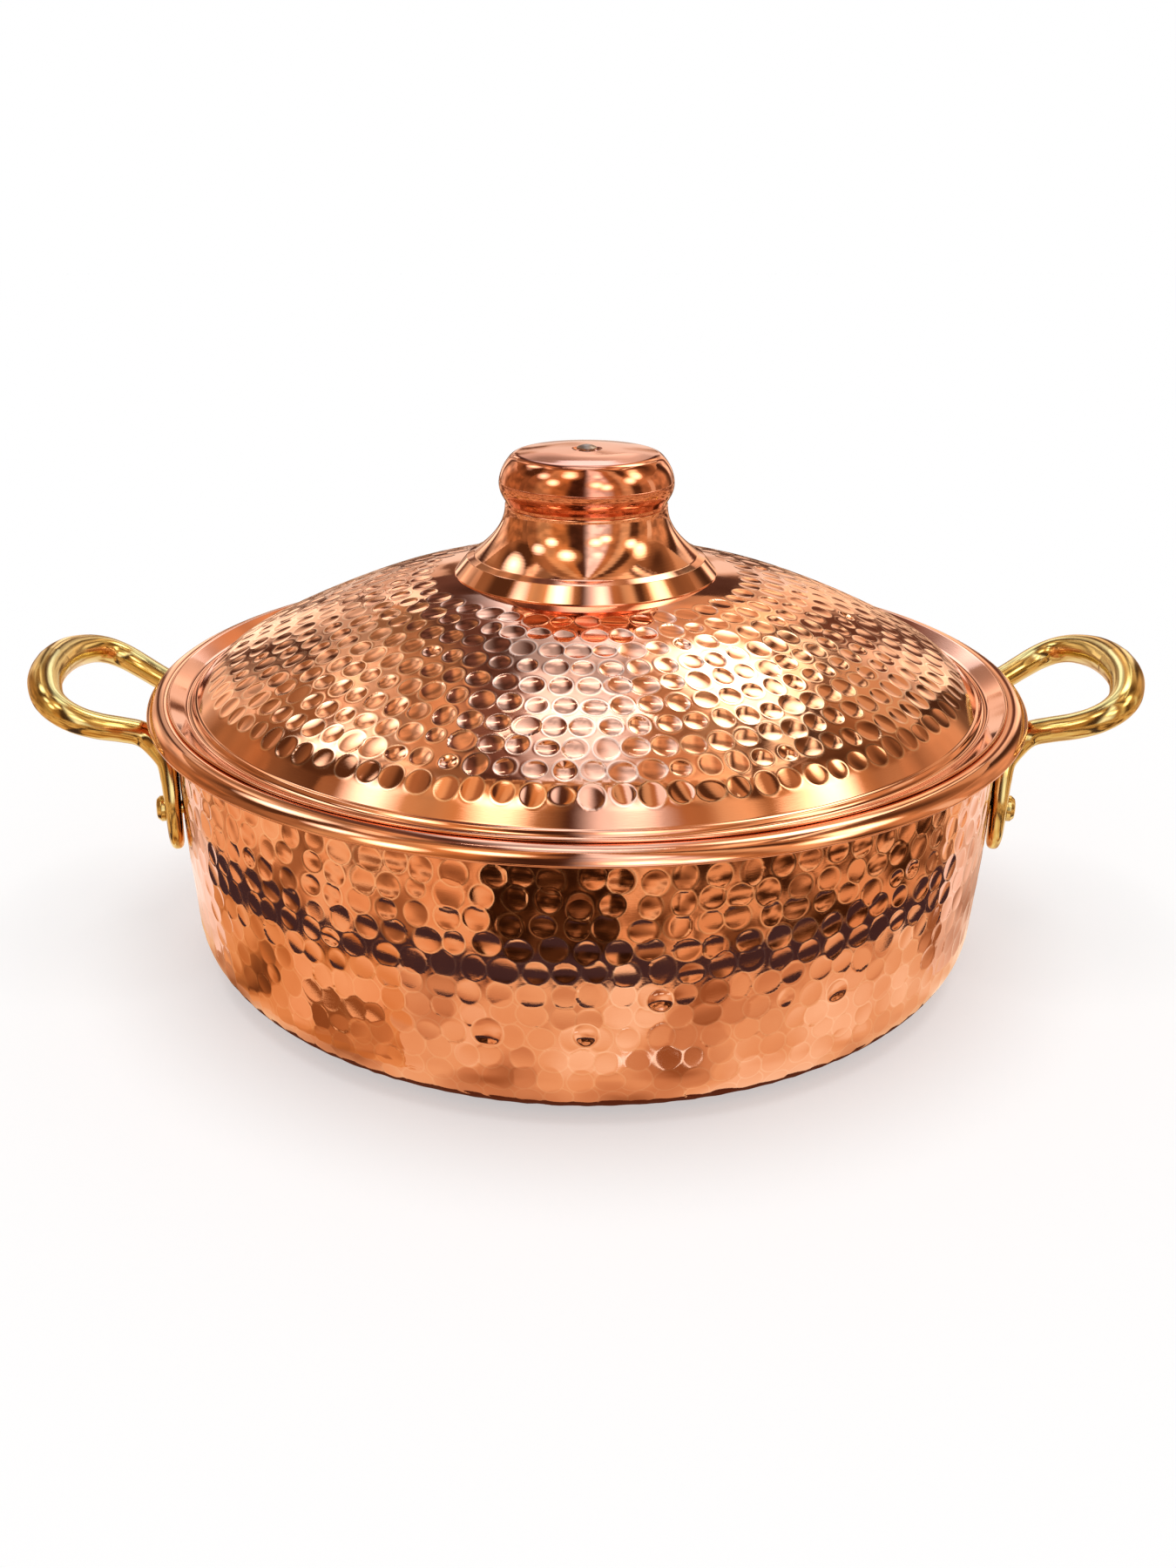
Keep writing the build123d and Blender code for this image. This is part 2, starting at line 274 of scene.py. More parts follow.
def mesh_from_grid(name, grid, materials, poles):
    """Closed mesh over rings of points, facing out; grid is (rings, points, 3) in millimetres.

    With poles, a fan closes the first ring and another the last; without, the last ring joins the first.
    """
    rings, count, _ = grid.shape
    verts = grid.reshape(-1, 3)
    ring = np.arange(count)
    nxt = (ring + 1) % count
    faces = []
    for k in range(rings - 1 if poles else rings):
        a = k * count
        b = ((k + 1) % rings) * count
        faces.append(np.stack([a + ring, b + ring, b + nxt, a + nxt], axis=1))
    quads = np.concatenate(faces)
    tris = np.zeros((0, 3), int)
    if poles:
        pole = np.full(count, len(verts))
        a = (rings - 1) * count
        first_fan = np.stack([pole, ring, nxt], axis=1)
        last_fan = np.stack([pole + 1, a + nxt, a + ring], axis=1)
        tris = np.concatenate([first_fan, last_fan])
        verts = np.concatenate([verts, np.array([grid[0].mean(axis=0), grid[-1].mean(axis=0)])])
    if volume_of(verts, quads, tris) < 0:
        quads = quads[:, ::-1]
        tris = tris[:, ::-1]
    mesh = bpy.data.meshes.new(name)
    mesh.vertices.add(len(verts))
    mesh.vertices.foreach_set("co", (verts * MM).astype(np.float32).ravel())
    loops = np.concatenate([quads.ravel(), tris.ravel()]).astype(np.int32)
    mesh.loops.add(len(loops))
    mesh.loops.foreach_set("vertex_index", loops)
    sizes = np.concatenate([np.full(len(quads), 4), np.full(len(tris), 3)])
    starts = np.concatenate([[0], np.cumsum(sizes)[:-1]]).astype(np.int32)
    mesh.polygons.add(len(sizes))
    mesh.polygons.foreach_set("loop_start", starts)
    mesh.polygons.foreach_set("use_smooth", np.full(len(sizes), True))
    mesh.update(calc_edges=True)
    mesh.validate()
    obj = bpy.data.objects.new(name, mesh)
    bpy.context.scene.collection.objects.link(obj)
    for mat in materials:
        mesh.materials.append(mat)
    return obj


def volume_of(verts, quads, tris):
    faces = np.concatenate([quads[:, :3], quads[:, [0, 2, 3]], tris])
    a, b, c = verts[faces[:, 0]], verts[faces[:, 1]], verts[faces[:, 2]]
    return np.einsum("ij,ij->i", a, np.cross(b, c)).sum() / 6


def paint_second(obj, *spans):
    """Give the faces in each span of face numbers the mesh's second material."""
    index = np.zeros(len(obj.data.polygons), np.int32)
    for start, stop in spans:
        index[start:stop] = 1
    obj.data.polygons.foreach_set("material_index", index)
    obj.data.update()


def spin(outline, count, heights=None):
    """Rings of points about Z; heights is an optional (rings, points) shift to the outline's right."""
    around = np.arange(count) * 2 * pi / count
    radius = np.repeat(outline[:, :1], count, axis=1)
    height = np.repeat(outline[:, 1:], count, axis=1)
    if heights is not None:
        normal = outline_normals(outline)
        radius = radius + normal[:, :1] * heights
        height = height + normal[:, 1:] * heights
    return np.stack([radius * np.cos(around), radius * np.sin(around), height], axis=2)


def outline_normals(outline):
    step = np.gradient(outline, axis=0)
    step /= np.maximum(np.linalg.norm(step, axis=1, keepdims=True), 1e-9)
    return np.stack([step[:, 1], -step[:, 0]], axis=1)


def path_lengths(outline):
    return np.concatenate([[0], np.cumsum(np.linalg.norm(np.diff(outline, axis=0), axis=1))])


def smooth_min(a, b, k):
    mix = np.clip(0.5 + 0.5 * (b - a) / k, 0, 1)
    return b * (1 - mix) + a * mix - k * mix * (1 - mix)


def hammer(outline, strikes):
    """Height of a turned surface after hammer strikes, and how much the ridges round the marks are worn
    rougher and lightened as a painted highlight.

    A strike is (distance along the outline, angle, radius, depth, lip, slope along, slope round, stretch).
    """
    along = path_lengths(outline)
    field = np.zeros((len(outline), POINTS_ROUND))
    ridge_wear_and_sheen = np.zeros((len(outline), POINTS_ROUND))
    for s, angle, radius, depth, lip, slope_s, slope_a, stretch in strikes:
        reach = radius * MARK_REACH
        low, high = np.searchsorted(along, (s - reach, s + reach))
        if high <= low:
            continue
        ring_r = np.interp(s, along, outline[:, 0])
        half = int(np.ceil(reach / ring_r / (2 * pi) * POINTS_ROUND)) + 1
        mid = int(round(angle / (2 * pi) * POINTS_ROUND))
        cols = np.arange(mid - half, mid + half + 1)
        turn = cols * 2 * pi / POINTS_ROUND - angle
        where = np.ix_(np.arange(low, high), cols % POINTS_ROUND)
        ds = (along[low:high] - s)[:, None]
        da = (turn * ring_r)[None, :]
        away = np.sqrt((ds * stretch) ** 2 + (da / stretch) ** 2) / radius
        patch = field[where]
        inner = away < MARK_FLOOR
        base = patch[inner].mean() * FLOOR_SHARE if inner.any() else 0.0
        bowl = base - depth * (1 - away ** 2) + slope_s * ds + slope_a * da
        lower = np.where(away < MARK_CUT, smooth_min(patch, bowl, CUT_SOFTNESS), patch)
        ridge = np.exp(-((away - LIP_AT) * radius / LIP_WIDTH) ** 2)
        field[where] = lower + lip * ridge
        # mask of the ridges, used for their real wear and for their painted highlight
        kept = ridge_wear_and_sheen[where] * np.clip((away - WEAR_AND_SHEEN_STARTS) / (1 - WEAR_AND_SHEEN_STARTS), 0, 1)
        ridge_wear_and_sheen[where] = np.maximum(kept, ridge * lip / FULL_LIP)
    return field, ridge_wear_and_sheen


def store_wear_and_sheen(obj, ridge_wear_and_sheen):
    """Keeps on each point how much the ridge round a hammer mark is worn rougher and lightened as a painted
    highlight.
    """
    values = np.zeros(len(obj.data.vertices), np.float32)
    values[:ridge_wear_and_sheen.size] = ridge_wear_and_sheen.ravel()
    attribute = obj.data.attributes.new("wear_and_sheen", "FLOAT", "POINT")
    attribute.data.foreach_set("value", values)


def unevenness(rng, outline, height, lengths):
    """Slow waves left in the sheet by hammering: a few random ripples that close round the pot."""
    along = path_lengths(outline)
    around = np.arange(POINTS_ROUND) * 2 * pi / POINTS_ROUND
    field = np.zeros((len(along), POINTS_ROUND))
    for length in lengths:
        for _ in range(3):
            turns = int(round(rng.uniform(0.4, 1.0) * 2 * pi * outline[:, 0].max() / length))
            rate = rng.uniform(0.4, 1.0) * 2 * pi / length
            phase, turn = rng.uniform(0, 2 * pi, 2)
            wave = np.sin(along[:, None] * rate + phase) * np.cos(around[None, :] * turns + turn)
            field += wave * height * length / max(lengths) / 3
    return field


def ring_places(last, first, pitch):
    """Places of the rings of marks, from the last back to the first."""
    return [last - k * pitch for k in range(int((last - first) / pitch) + 1)]


def strike_rows(rng, rows, jitter):
    """Strikes in rings: each row is (distance along, ring radius, radius, depth, lip, pitch)."""
    strikes = []
    for s, ring_r, radius, depth, lip, pitch in rows:
        count = int(round(2 * pi * ring_r / pitch))
        offset = rng.random() * 2 * pi / count
        for k in rng.permutation(count):
            angle = offset + 2 * pi * k / count + rng.normal(0, jitter) / ring_r
            size = radius * (1 + rng.normal(0, SIZE_SPREAD))
            hard = HARD_BLOW if rng.random() < HARD_SHARE else 1.0
            place = s + rng.normal(0, jitter)
            dent = hard * depth * (1 + rng.normal(0, DEPTH_SPREAD))
            slope_s = rng.normal(0, SLOPE_SPREAD)
            slope_a = rng.normal(0, SLOPE_SPREAD)
            stretch = 1 + rng.normal(0, ROUND_SPREAD)
            width = size / hard ** 0.3
            strikes.append((place, angle % (2 * pi), width, dent, lip, slope_s, slope_a, stretch))
    return strikes


def fade_at_ends(along, start, stop):
    """0 outside the hammered part, 1 well inside it."""
    return np.clip(np.minimum(along - start, stop - along) / FADE_LENGTH, 0, 1)[:, None]


def body_strikes(rng, skin, wall):
    """Marks of the pot's wall: clear ones in the upper rings, softer ones below, and four odd deep ones."""
    along = path_lengths(skin)
    start, stop = along[wall][0], along[wall][-1]
    end_gap, ring_pitch, jitter = 4.5, 7.35, 0.55
    rows = []
    for k, s in enumerate(ring_places(stop - end_gap, start, ring_pitch)):
        soft = np.clip((k - 3.2) / 2.5, 0, 1)
        radius = 3.75 + 0.25 * soft
        depth = 0.20 - 0.055 * soft
        lip = 0.026 - 0.008 * soft
        pitch = 9.2 - 0.8 * soft
        rows.append((s, np.interp(s, along, skin[:, 0]), radius, depth, lip, pitch))
    strikes = strike_rows(rng, rows[::-1], jitter)
    odd_width, odd_depth, odd_lip, odd_slope = 1.08, 0.78, 0.02, -0.05
    for angle, height, radius in ((-12.6, 32.0, 4.3), (-1.0, 33.0, 3.5), (7.5, 44.0, 3.4), (31.0, 36.0, 3.6)):
        s = np.interp(height, skin[wall][:, 1], along[wall])
        turn = radians(angle - 90) % (2 * pi)
        strikes.append((s, turn, radius * odd_width, odd_depth, odd_lip, odd_slope, 0.0, 1.0))
    return strikes


def marks_inside(field, skin, wall, lining):
    """Faint, blurred marks on the lining, level with the marks outside."""
    faintness = 0.35
    level = np.interp(lining[:, 1], skin[wall][:, 1], np.arange(len(skin))[wall])
    blurred = field[np.clip(level.astype(int), 0, len(skin) - 1)]
    for _ in range(4):
        blurred = (np.roll(blurred, 1, 1) + blurred + np.roll(blurred, -1, 1)) / 3
    marked = (lining[:, 0] > BOTTOM_R) & (lining[:, 1] < INNER_MARKS_TO_Z)
    return -blurred * faintness * marked[:, None]


def make_body(copper, tin):
    """Pot body: hammered outside, smooth rim, tinned inside with faint marks of the hammer."""
    inner = body_path()
    skin = rounded_path(side_of(inner, SHEET), SKIN_STEP)
    lining = rounded_path(inner, LINING_STEP)[::-1]
    keep = (skin[:, 0] > BOTTOM_R) | (skin[:, 1] > 1.0)
    coarse = np.stack([np.linspace(CENTRE_R, BOTTOM_R, 16), np.zeros(16)], axis=1)
    skin = np.concatenate([coarse, skin[keep]])
    lining = lining[lining[:, 0] > CENTRE_R]
    edge = round_end(skin[-1], lining[0], 1)
    outline = np.concatenate([skin, edge, lining])

    along = path_lengths(skin)
    wall = (skin[:, 0] > MARKS_FROM_BOTTOM_R) & (skin[:, 1] < MARKS_TO_Z)
    rng = np.random.default_rng(7)
    field, ridge_wear_and_sheen = hammer(skin, body_strikes(rng, skin, wall))
    waves = unevenness(rng, skin, height=0.10, lengths=(60.0, 32.0))
    field += waves * fade_at_ends(along, along[wall][0], along[wall][-1])
    heights = np.zeros((len(outline), POINTS_ROUND))
    heights[:len(skin)] = field
    heights[-len(lining):] = marks_inside(field, skin, wall, lining)
    grid = spin(outline, POINTS_ROUND, heights)
    obj = mesh_from_grid("pot_body_hammered", grid, [copper, tin], True)
    mouth = len(skin) + len(edge) + int(np.argmax(lining[:, 0] < WALL_R - SHEET + 0.05))
    lined = (mouth * POINTS_ROUND, (len(outline) - 1) * POINTS_ROUND)
    centre_fan = (-POINTS_ROUND, None)
    paint_second(obj, lined, centre_fan)
    store_wear_and_sheen(obj, ridge_wear_and_sheen)
    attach(obj, "pot")
    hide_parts("pot_body")


def make_lid(copper, tin):
    """Lid: rings of round hammer marks on the dome, smooth skirt, fine bead, gutter and flange."""
    top = lid_path()
    skin = rounded_path(top, SKIN_STEP, 8)
    lining = rounded_path(side_of(top, LID_SHEET), LINING_STEP, 6)[::-1]
    edge = round_end(skin[-1], lining[0], -1)
    outline = np.concatenate([skin, edge, lining])

    along = path_lengths(skin)
    first = np.interp(MARKS_FROM_R, skin[:, 0], along)
    last = along[int(np.argmax(skin[:, 0] > MARKS_TO_R))]
    radius, depth, lip, pitch = 3.55, 0.25, 0.034, 8.3
    end_gap, start_gap, ring_pitch, jitter = 4.2, 2, 8.45, 0.24
    rows = []
    for s in ring_places(last - end_gap, first + start_gap, ring_pitch):
        rows.append((s, np.interp(s, along, skin[:, 0]), radius, depth, lip, pitch))
    rng = np.random.default_rng(11)
    field, ridge_wear_and_sheen = hammer(skin, strike_rows(rng, rows, jitter))
    waves = unevenness(rng, skin, height=0.05, lengths=(60.0, 34.0))
    field += waves * fade_at_ends(along, first, last)
    heights = np.zeros((len(outline), POINTS_ROUND))
    heights[:len(skin)] = -field
    grid = spin(outline, POINTS_ROUND, heights)
    obj = mesh_from_grid("lid_hammered", grid, [copper, tin], False)
    paint_second(obj, ((len(skin) + len(edge)) * POINTS_ROUND, len(outline) * POINTS_ROUND))
    store_wear_and_sheen(obj, ridge_wear_and_sheen)
    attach(obj, "lid")
    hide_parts("lid_dome")


def make_turned(name, path, mat, body, node):
    """Piece of turned sheet whose outer side follows a path of (r, z, corner radius)."""
    skin = rounded_path(path, KNOB_STEP, 12)
    lining = rounded_path(side_of(path, KNOB_SHEET), KNOB_STEP, 10)[::-1]
    outline = np.concatenate([skin, lining])
    obj = mesh_from_grid(name, spin(outline, KNOB_POINTS), [mat], False)
    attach(obj, body)
    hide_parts(node)


def make_knob(copper, shaded_cap_copper):
    """Trumpet-shaped foot with its bevelled ring, and the rounded cap seated in its neck."""
    trumpet = []
    for u in np.linspace(0, 1, 22):
        z = KNOB_FLOOR + TRUMPET_TOP - TRUMPET_HEIGHT * u
        trumpet.append((TRUMPET_R + TRUMPET_FLARE * u ** 2.1, z, 0))
    bevel = [(40.4, KNOB_FLOOR + 5.2, 0.5), (44.7, KNOB_FLOOR, 0)]
    make_turned("knob_base_polished", trumpet + bevel, copper, "lid", "knob_base")
    neck = KNOB_FLOOR + NECK_HEIGHT
    top = neck + CAP_HEIGHT
    cap = [
        (LID_HOLE, top - 1.0, 0),
        (3.6, top - 1.0, 1.2),
        (5.2, top - 0.2, 1.4),
        (15.5, top - 0.5, 90.0),
        (24.8, top - 1.6, 4.6),
        (28.9, top - 6.7, 13.5),
        (29.7, top - 12.9, 8.0),
        (CAP_NECK_R, top - 17.3, 1.0),
        (CAP_NECK_R, neck, 0),
        (SPIGOT_R, neck, 0),
        (SPIGOT_R, neck - SPIGOT_DEPTH, 0),
    ]
    # the cap takes the darker copy of the copper, a painted shade
    make_turned("knob_cap_polished", cap, shaded_cap_copper, "lid", "knob_cap")


def catmull(points, per_span):
    """Smooth curve through rows of numbers."""
    rows = np.array(points, float)
    padded = np.vstack([2 * rows[0] - rows[1], rows, 2 * rows[-1] - rows[-2]])
    out = []
    for k in range(1, len(padded) - 2):
        p0, p1, p2, p3 = padded[k - 1:k + 3]
        for t in np.arange(per_span) / per_span:
            out.append(0.5 * (2 * p1 + (p2 - p0) * t + (2 * p0 - 5 * p1 + 4 * p2 - p3) * t ** 2
                              + (3 * p1 - p0 - 3 * p2 + p3) * t ** 3))
    out.append(rows[-1])
    return np.array(out)


def handle_stations():
    """Half of a handle from the middle of the grip to the end of a foot.

    Each row is x, y, z, half width, half thickness and squareness of the section.
    """
    wall_x = sqrt(WALL_R ** 2 - FOOT_Y ** 2)
    return [
        (186.0, 0.0, 98.0, 6.0, 6.0, 2.0),
        (185.5, 9.0, 97.7, 5.9, 5.9, 2.0),
        (183.9, 18.0, 96.9, 5.7, 5.6, 2.0),
        (180.2, 27.6, 95.0, 5.35, 5.1, 2.0),
        (175.4, 32.6, 92.6, 5.1, 4.8, 2.0),
        (169.6, 33.7, 89.6, 4.9, 4.6, 2.0),
        (163.2, 31.6, 86.6, 4.7, 4.4, 2.0),
        (156.6, 28.0, 84.0, 4.6, 4.25, 2.05),
        (150.8, 25.6, 81.6, 4.9, 4.15, 2.15),
        (146.4, 25.8, 78.0, 5.8, 4.0, 2.4),
        (wall_x + 4.6, 27.6, 73.2, 7.0, 3.7, 2.8),
        (wall_x + 3.4, 29.6, 67.0, 8.2, 3.3, 3.2),
        (wall_x + 3.0, FOOT_Y, 60.0, 8.8, 2.95, 3.4),
        (wall_x + 2.9, FOOT_Y, 53.5, 8.8, 2.75, 3.4),
        (wall_x + 2.8, FOOT_Y, 48.0, 8.0, 2.6, 3.2),
        (wall_x + 2.6, FOOT_Y, 44.6, 6.2, 2.3, 2.8),
        (wall_x + 2.5, FOOT_Y, 42.8, 3.8, 1.8, 2.4),
        (wall_x + 2.5, FOOT_Y, 42.1, 1.4, 0.9, 2.0),
    ]


def wide_sides(centres, tangents):
    """Direction of each section's wide side: carried along without twist, then turned along the wall."""
    wide = np.zeros_like(centres)
    start = np.array(GRIP_SIDE)
    start -= tangents[0] * start.dot(tangents[0])
    wide[0] = start / np.linalg.norm(start)
    for k in range(1, len(centres)):
        w = wide[k - 1] - tangents[k] * wide[k - 1].dot(tangents[k])
        wide[k] = w / np.linalg.norm(w)
    angle = atan2(FOOT_Y, sqrt(WALL_R ** 2 - FOOT_Y ** 2))
    along_wall = np.array((-sin(angle), cos(angle), 0.0))
    for k in range(len(centres)):
        share = np.clip((TURN_Z - centres[k, 2]) / TURN_DROP, 0, 1)
        share = share * share * (3 - 2 * share)
        sign = 1 if wide[k].dot(along_wall) > 0 else -1
        w = wide[k] * (1 - share) + along_wall * sign * share
        w -= tangents[k] * w.dot(tangents[k])
        wide[k] = w / np.linalg.norm(w)
    return wide


def sweep_sections(rows, points):
    """Rings of superellipses along a curve of handle stations."""
    centres = rows[:, :3]
    tangents = np.gradient(centres, axis=0)
    tangents /= np.linalg.norm(tangents, axis=1, keepdims=True)
    wide = wide_sides(centres, tangents)
    thick = np.cross(tangents, wide)
    around = np.arange(points) * 2 * pi / points
    c, s = np.cos(around), np.sin(around)
    rings = []
    for k in range(len(rows)):
        a, b, n = rows[k, 3:6]
        u = a * np.sign(c) * np.abs(c) ** (2 / n)
        v = b * np.sign(s) * np.abs(s) ** (2 / n)
        rings.append(centres[k] + np.outer(u, wide[k]) + np.outer(v, thick[k]))
    return np.array(rings)


def make_handle(side, brass):
    """Cast loop with two feet that lie against the wall; side is 1 on the right and -1 on the left."""
    half = sweep_sections(catmull(handle_stations(), SPAN_STEPS), HANDLE_POINTS)
    mirrored = half[::-1].copy()
    mirrored[:, :, 1] *= -1
    rings = np.concatenate([mirrored[:-1], half])
    distance = np.hypot(rings[:, :, 0], rings[:, :, 1])
    limit = WALL_R + PRESSED_GAP
    low = (distance < limit) & (rings[:, :, 2] < PRESSED_Z)
    scale = np.where(low, limit / distance, 1.0)
    rings[:, :, 0] *= scale
    rings[:, :, 1] *= scale
    if side < 0:
        rings[:, :, 0] *= -1
    name = "right" if side > 0 else "left"
    obj = mesh_from_grid(f"handle_{name}_cast", rings, [brass], True)
    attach(obj, "pot")
    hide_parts(f"handle_{name}")


def make_rivet(side, end, brass):
    """Rivet with a bevelled flat-domed head outside and a low peened head inside."""
    angle = atan2(end * FOOT_Y, sqrt(WALL_R ** 2 - FOOT_Y ** 2))
    path = [
        (0.02, 8.55, 0), (2.2, 8.5, 1.0), (3.4, 8.2, 0.8), (4.4, 7.0, 0.5), (4.4, 5.65, 0.1), (2.3, 5.55, 0),
        (2.3, -2.9, 0), (3.5, -2.9, 0.2), (3.5, -3.5, 0.5), (0.02, -4.4, 0),
    ]
    grid = spin(rounded_path(path, 0.35, 5), 48)
    outward = np.array((cos(angle) * side, sin(angle), 0.0))
    up = np.array((0.0, 0.0, 1.0))
    around = np.cross(outward, up)
    placed = (grid[:, :, :1] * around + grid[:, :, 1:2] * up + (grid[:, :, 2:] + WALL_R) * outward)
    placed[:, :, 2] += RIVET_Z
    word = ("right" if side > 0 else "left") + ("_rear" if end > 0 else "_front")
    obj = mesh_from_grid(f"rivet_{word}_head", placed, [brass], True)
    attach(obj, "pot")
    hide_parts(f"rivet_{word}")


def dress(name, mat):
    """Give a carried-over node its material."""
    obj = bpy.data.objects[name]
    obj.data.materials.clear()
    obj.data.materials.append(mat)


def material(name):
    mat = bpy.data.materials.new(name)
    mat.use_nodes = True
    tree = mat.node_tree
    return mat, tree, tree.nodes["Principled BSDF"]


def glowing(name):
    """Material that only shines."""
    mat, tree, shader = material(name)
    tree.nodes.remove(shader)
    glow = tree.nodes.new("ShaderNodeEmission")
    tree.links.new(glow.outputs["Emission"], tree.nodes["Material Output"].inputs["Surface"])
    return mat, tree, glow


def own_coords(tree):
    return tree.nodes.new("ShaderNodeTexCoord").outputs["Object"]


def mapped(tree, coords, scale):
    node = tree.nodes.new("ShaderNodeMapping")
    node.inputs["Scale"].default_value = scale
    tree.links.new(coords, node.inputs["Vector"])
    return node


def noise(tree, coords, scale, detail=4.0, rough=0.55):
    node = tree.nodes.new("ShaderNodeTexNoise")
    node.inputs["Scale"].default_value = scale
    node.inputs["Detail"].default_value = detail
    node.inputs["Roughness"].default_value = rough
    tree.links.new(coords, node.inputs["Vector"])
    return node.outputs["Fac"]


def spread(tree, value, low, high, start=0.3, stop=0.7):
    """Run from low to high while value runs from start to stop."""
    node = tree.nodes.new("ShaderNodeMapRange")
    node.inputs["From Min"].default_value = start
    node.inputs["From Max"].default_value = stop
    node.inputs["To Min"].default_value = low
    node.inputs["To Max"].default_value = high
    tree.links.new(value, node.inputs["Value"])
    return node.outputs["Result"]


def calculate(tree, operation, *values):
    """Result of a Math node; each value is a socket or a plain number."""
    node = tree.nodes.new("ShaderNodeMath")
    node.operation = operation
    for socket, value in zip(node.inputs, values):
        if isinstance(value, (int, float)):
            socket.default_value = value
        else:
            tree.links.new(value, socket)
    return node.outputs[0]


def blend(tree, factor, first, second):
    """Mix of two colours; each is a socket or a plain colour."""
    node = tree.nodes.new("ShaderNodeMix")
    node.data_type = "RGBA"
    tree.links.new(factor, node.inputs["Factor"])
    for socket, value in (("A", first), ("B", second)):
        slot = [s for s in node.inputs if s.name == socket and s.type == "RGBA"][0]
        if isinstance(value, tuple):
            slot.default_value = (*value, 1)
        else:
            tree.links.new(value, slot)
    return [s for s in node.outputs if s.type == "RGBA"][0]


def metal(name, light, dark, rough_low, rough_high, scratch, bright=None):
    """Polished metal: soft patches of tone, uneven polish and fine wiping scratches.

    With a bright colour, the ridges round the hammer marks are made rougher as worn and lightened to it as a
    painted highlight.
    """
    mat, tree, shader = material(name)
    coords = own_coords(tree)
    colour = blend(tree, spread(tree, noise(tree, coords, TONE_SCALE), 0, 1), light, dark)
    polish = spread(tree, noise(tree, coords, POLISH_SCALE, 6.0), rough_low, rough_high)
    if bright:
        wear_and_sheen = tree.nodes.new("ShaderNodeAttribute")
        wear_and_sheen.attribute_name = "wear_and_sheen"
        # painted highlight: the ridges are lightened towards the bright colour; the added roughness below is
        # their real wear
        colour = blend(tree, spread(tree, wear_and_sheen.outputs["Fac"], 0, 0.8, 0.25, 0.95), colour, bright)
        polish = calculate(tree, "MULTIPLY_ADD", wear_and_sheen.outputs["Fac"], WORN_ROUGHNESS, polish)
    tree.links.new(colour, shader.inputs["Base Color"])
    tree.links.new(polish, shader.inputs["Roughness"])
    flattened = mapped(tree, coords, (1.0, 1.0, 14.0))
    lines = noise(tree, flattened.outputs["Vector"], SCRATCH_SCALE, 3.0)
    bump = tree.nodes.new("ShaderNodeBump")
    bump.inputs["Strength"].default_value = scratch
    bump.inputs["Distance"].default_value = SCRATCH_DEPTH
    tree.links.new(lines, bump.inputs["Height"])
    tree.links.new(bump.outputs["Normal"], shader.inputs["Normal"])
    shader.inputs["Metallic"].default_value = 1.0
    return mat


def plain_glow(name, colour, strength):
    mat, _, glow = glowing(name)
    glow.inputs["Color"].default_value = (*colour, 1)
    glow.inputs["Strength"].default_value = strength
    return mat


def set_stops(tree, stops):
    """Colour ramp with a smooth run between (place, colour) stops."""
    ramp = tree.nodes.new("ShaderNodeValToRGB")
    ramp.color_ramp.interpolation = "EASE"
    while len(ramp.color_ramp.elements) < len(stops):
        ramp.color_ramp.elements.new(0.5)
    for element, (place, colour) in zip(ramp.color_ramp.elements, stops):
        element.position = place
        element.color = (*colour, 1)
    return ramp


def patchy(name, stops, scale, stretch=(1, 1, 1)):
    """Glow in soft patches of several tones, as (place, colour) stops of a noise."""
    mat, tree, glow = glowing(name)
    mapping = mapped(tree, own_coords(tree), stretch)
    ramp = set_stops(tree, stops)
    tree.links.new(noise(tree, mapping.outputs["Vector"], scale, 2.0, 0.4), ramp.inputs["Fac"])
    tree.links.new(ramp.outputs["Color"], glow.inputs["Color"])
    return mat


def banded(name, bands, across, scale, contrast):
    """Glow in soft-edged bands of (low, high, colour), with soft patches of light and dark over them."""
    mat, tree, glow = glowing(name)
    coords = own_coords(tree)
    first, last = bands[0][0], bands[-1][1]
    stops = []
    for low, high, colour in bands:
        soft = (high - low) * BAND_EDGE
        if high - low < NARROW_BAND * (last - first):
            soft = (high - low) / 2
            high = low
        for place in sorted({low + soft, max(high - soft, low + soft)}):
            stops.append(((place - first) / (last - first), colour))
    ramp = set_stops(tree, stops)
    tree.links.new(spread(tree, across(tree, coords), 0, 1, first, last), ramp.inputs["Fac"])
    tree.links.new(ramp.outputs["Color"], glow.inputs["Color"])
    patches = noise(tree, coords, scale, 2.0, 0.4)
    tree.links.new(spread(tree, patches, 1 - contrast, 1 + contrast, 0.36, 0.64), glow.inputs["Strength"])
    return mat


def split_coords(tree, coords):
    split = tree.nodes.new("ShaderNodeSeparateXYZ")
    tree.links.new(coords, split.inputs["Vector"])
    return split.outputs["X"], split.outputs["Y"]


def sideways(tree, coords):
    """Distance to the right as seen from the front."""
    return split_coords(tree, coords)[0]


def bearing(tree, coords):
    """Angle round the pot from the front to the right."""
    x, y = split_coords(tree, coords)
    return calculate(tree, "ARCTAN2", x, calculate(tree, "MULTIPLY", y, -1))


def rays_seen(tree, kinds):
    """1 for the kinds of ray named, otherwise 0."""
    path = tree.nodes.new("ShaderNodeLightPath")
    value = path.outputs[kinds[0]]
    for kind in kinds[1:]:
        value = calculate(tree, "MAXIMUM", value, path.outputs[kind])
    return value


def plain_mesh(name, verts, faces, mat):
    mesh = bpy.data.meshes.new(name)
    mesh.from_pydata(verts, [], faces)
    mesh.materials.append(mat)
    obj = bpy.data.objects.new(name, mesh)
    bpy.context.scene.collection.objects.link(obj)
    return obj


def reflected_mesh(name, verts, faces, mat):
    """Studio piece that only reflections show, and that throws no light or shadow on the pot."""
    obj = plain_mesh(name, verts, faces, mat)
    obj.visible_camera = False
    obj.visible_diffuse = False
    obj.visible_shadow = False


